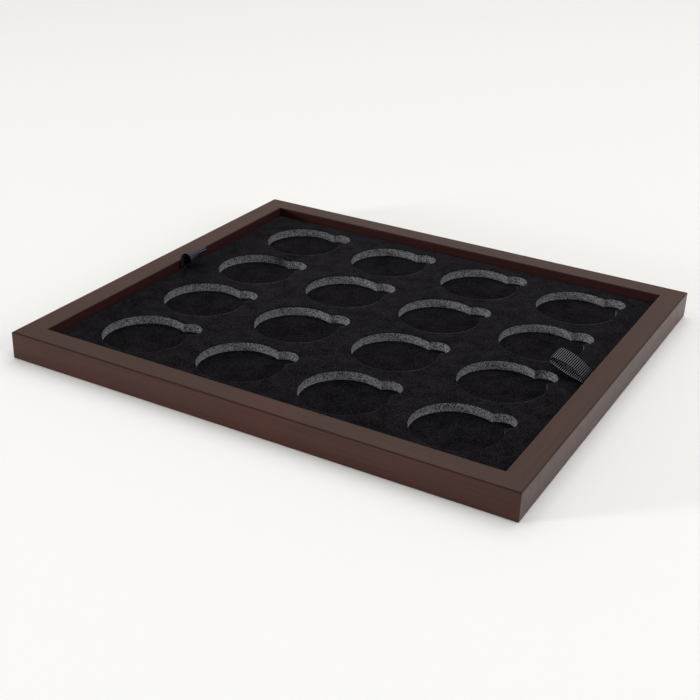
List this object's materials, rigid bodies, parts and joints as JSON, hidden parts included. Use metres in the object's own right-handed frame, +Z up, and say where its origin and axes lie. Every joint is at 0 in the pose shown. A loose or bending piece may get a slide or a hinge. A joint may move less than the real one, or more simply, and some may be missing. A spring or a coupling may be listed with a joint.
{
  "type": "coin capsule tray",
  "caption": "Shallow rectangular display tray with a dark lacquered wooden frame round a black velvet foam insert with round notched pockets, lifted out by ribbon pulls.",
  "frame": {"origin": "middle of the underside, on the table", "axes": "+X along the long side, +Y from the front rail to the back rail, +Z up"},
  "size_m": [0.29, 0.257, 0.0214],
  "materials": {
    "lacquered_wood": "dark brown satin lacquer on fine-grained hardwood",
    "plywood_panel": "thin sanded plywood",
    "nail_steel": "plain drawn steel",
    "grey_card": "stiff grey board",
    "black_velvet": "short-pile flocked velvet",
    "grey_foam": "fine-celled die-cut foam",
    "black_grosgrain": "ribbed woven ribbon"
  },
  "bodies": {
    "frame": {"front_rail": "lacquered_wood", "back_rail": "lacquered_wood", "left_rail": "lacquered_wood", "right_rail": "lacquered_wood", "base_panel": "plywood_panel", "corner_v_nails": "nail_steel", "base_brads": "nail_steel"},
    "insert": {"floor_card": "grey_card", "floor_lining": "black_velvet", "foam_pad": "grey_foam", "velvet_facing": "black_velvet", "left_ribbon_tail": "black_grosgrain", "right_ribbon_tail": "black_grosgrain"},
    "left_pull": {"left_ribbon_loop": "black_grosgrain"},
    "right_pull": {"right_ribbon_loop": "black_grosgrain"}
  },
  "joints": [
    {"name": "insert_lift", "type": "slide", "parent": "frame", "child": "insert", "axis": [0, 0, 1], "range_m": [0, 0.04]},
    {"name": "left_pull_swing", "type": "hinge", "parent": "insert", "child": "left_pull", "pos_m": [-0.13135, 0.0085, 0.01075], "axis": [0, 1, 0], "range_deg": [0, 26], "stiffness_Nm_per_rad": 0.0002, "springref_deg": -14.32},
    {"name": "right_pull_swing", "type": "hinge", "parent": "insert", "child": "right_pull", "pos_m": [0.13135, -0.0025, 0.01075], "axis": [0, 1, 0], "range_deg": [0, 38], "stiffness_Nm_per_rad": 0.0002}
  ]
}
